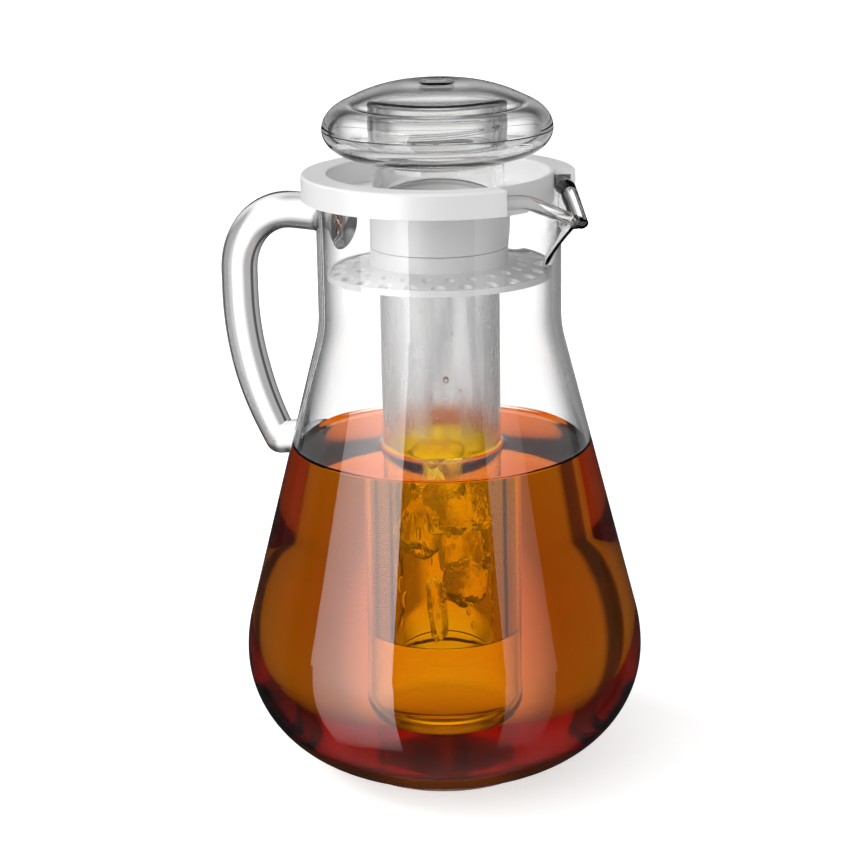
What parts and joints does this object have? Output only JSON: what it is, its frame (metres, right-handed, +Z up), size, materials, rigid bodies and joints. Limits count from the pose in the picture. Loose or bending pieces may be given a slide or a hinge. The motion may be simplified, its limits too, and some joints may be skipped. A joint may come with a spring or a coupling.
{
  "type": "pitcher with ice tube",
  "caption": "Clear pear-shaped glass pitcher with loop handle and V spout, white strainer lid and a hanging ice tube closed by a mushroom knob.",
  "frame": {"origin": "on the vessel's axis, at the plane of the foot ring that it stands on", "axes": "+Z up along the vessel's axis, +X towards the spout, the handle at -X"},
  "size_m": [0.1965, 0.1714, 0.2976],
  "materials": {
    "vessel_glass": "clear, polished",
    "white_plastic": "smooth, softly glossy",
    "clear_plastic": "clear moulded plastic, polished",
    "silicone": "translucent, matt"
  },
  "bodies": {
    "vessel": {"vessel": "vessel_glass", "handle": "vessel_glass"},
    "lid": {"lid": "white_plastic"},
    "strainer": {"strainer": "white_plastic"},
    "ice_tube": {"ice_tube": "clear_plastic", "tube_seal": "silicone"},
    "knob_ring": {"knob_seal": "silicone"},
    "knob": {"knob_bowl": "clear_plastic", "knob_dome": "clear_plastic"}
  },
  "joints": [
    {"name": "lid_lift", "type": "slide", "parent": "vessel", "child": "lid", "axis": [0, 0, 1], "range_m": [0, 0.24]},
    {"name": "strainer_drop", "type": "slide", "parent": "lid", "child": "strainer", "axis": [0, 0, -1], "range_m": [0, 0.205]},
    {"name": "tube_lift", "type": "slide", "parent": "lid", "child": "ice_tube", "axis": [0, 0, 1], "range_m": [0, 0.24]},
    {"name": "knob_rise", "type": "slide", "parent": "ice_tube", "child": "knob_ring", "axis": [0, 0, 1], "range_m": [0, 0.0221]},
    {"name": "knob_turn", "type": "hinge", "parent": "knob_ring", "child": "knob", "pos_m": [0, 0, 0.28], "axis": [0, 0, 1], "range_deg": [0, 720]}
  ],
  "couplings": [
    {"joint": "knob_rise", "follows": "knob_turn", "m_per_rad": 0.0017507}
  ]
}
